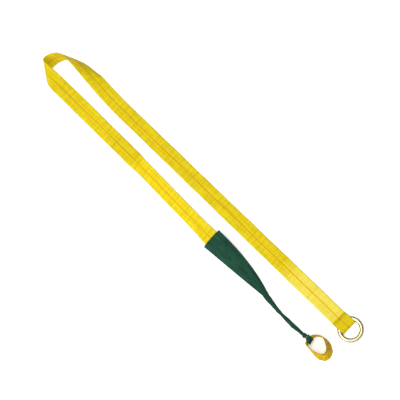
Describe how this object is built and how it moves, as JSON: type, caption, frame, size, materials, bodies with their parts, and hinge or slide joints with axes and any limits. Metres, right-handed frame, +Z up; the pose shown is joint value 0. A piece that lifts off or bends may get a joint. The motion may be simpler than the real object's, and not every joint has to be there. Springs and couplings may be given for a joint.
{
  "type": "webbing lifting strop",
  "caption": "Flat webbing lifting strop with a round ring sewn in one end and a tapered fabric pull-through sleeve, leader and hand loop on the other.",
  "frame": {"origin": "centre of the bottom face of the laid-out strop's bounding box, on the surface it lies on", "axes": "+Y along the legs, from the ring end to the folded end; +X from the sleeve's leg to the ring's leg; +Z up, out of the surface it lies on"},
  "size_m": [0.1652, 1.2825, 0.0655],
  "materials": {
    "webbing": "woven polyester webbing, yellow, with a thin orange tracer line",
    "thread": "polyester sewing thread, pale grey-yellow",
    "sleeve": "plain woven polyester cloth, dark green",
    "sleeve_thread": "polyester sewing thread, dark green",
    "ring": "yellow zinc plated steel, polished"
  },
  "bodies": {
    "root": {"long_leg_webbing": "webbing", "bend_webbing": "webbing"},
    "short_leg": {"short_leg_webbing": "webbing", "sleeve": "sleeve", "sleeve_seam_row": "sleeve_thread"},
    "splice": {"splice_upper_ply": "webbing", "splice_tail_ply": "webbing", "splice_row_near_eye": "thread", "splice_row_middle": "thread", "splice_row_end": "thread", "splice_side_row_left": "thread", "splice_side_row_right": "thread"},
    "eye": {"eye_webbing": "webbing"},
    "ring": {"ring": "ring"},
    "leader_upper": {"leader_upper": "sleeve"},
    "leader_lower": {"leader_lower": "sleeve", "knot_collar": "sleeve", "knot": "sleeve"},
    "hand_loop": {"hand_loop_webbing": "webbing", "hand_loop_lap": "webbing", "hand_loop_row_left": "thread", "hand_loop_row_right": "thread"}
  },
  "joints": [
    {"name": "splice_flex", "type": "hinge", "parent": "root", "child": "splice", "pos_m": [0.0446, -0.3366, 0.00405], "axis": [-1, 0, 0], "range_deg": [-60, 60]},
    {"name": "eye_flex", "type": "hinge", "parent": "splice", "child": "eye", "pos_m": [0.0446, -0.5526, 0.00265], "axis": [-1, 0, 0], "range_deg": [-60, 60]},
    {"name": "ring_spin", "type": "hinge", "parent": "eye", "child": "ring", "pos_m": [0.0446, -0.6033, 0.0077], "axis": [0, -0.0531, 0.9986], "continuous": true},
    {"name": "short_leg_flex", "type": "hinge", "parent": "root", "child": "short_leg", "pos_m": [-0.03885, 0.2546, 0.0018], "axis": [-1, 0, 0], "range_deg": [-30, 60]},
    {"name": "leader_lift", "type": "hinge", "parent": "short_leg", "child": "leader_upper", "pos_m": [-0.05404, -0.3549, 0.0045], "axis": [-1, 0, 0], "range_deg": [-50, 50]},
    {"name": "leader_swing", "type": "hinge", "parent": "leader_upper", "child": "leader_lower", "pos_m": [-0.06345, -0.4496, 0.0045], "axis": [0, 0, 1], "range_deg": [-50, 8]},
    {"name": "hand_loop_lift", "type": "hinge", "parent": "leader_lower", "child": "hand_loop", "pos_m": [-0.0594, -0.5396, 0.0101], "axis": [-1, 0, 0], "range_deg": [-50, 60]}
  ]
}
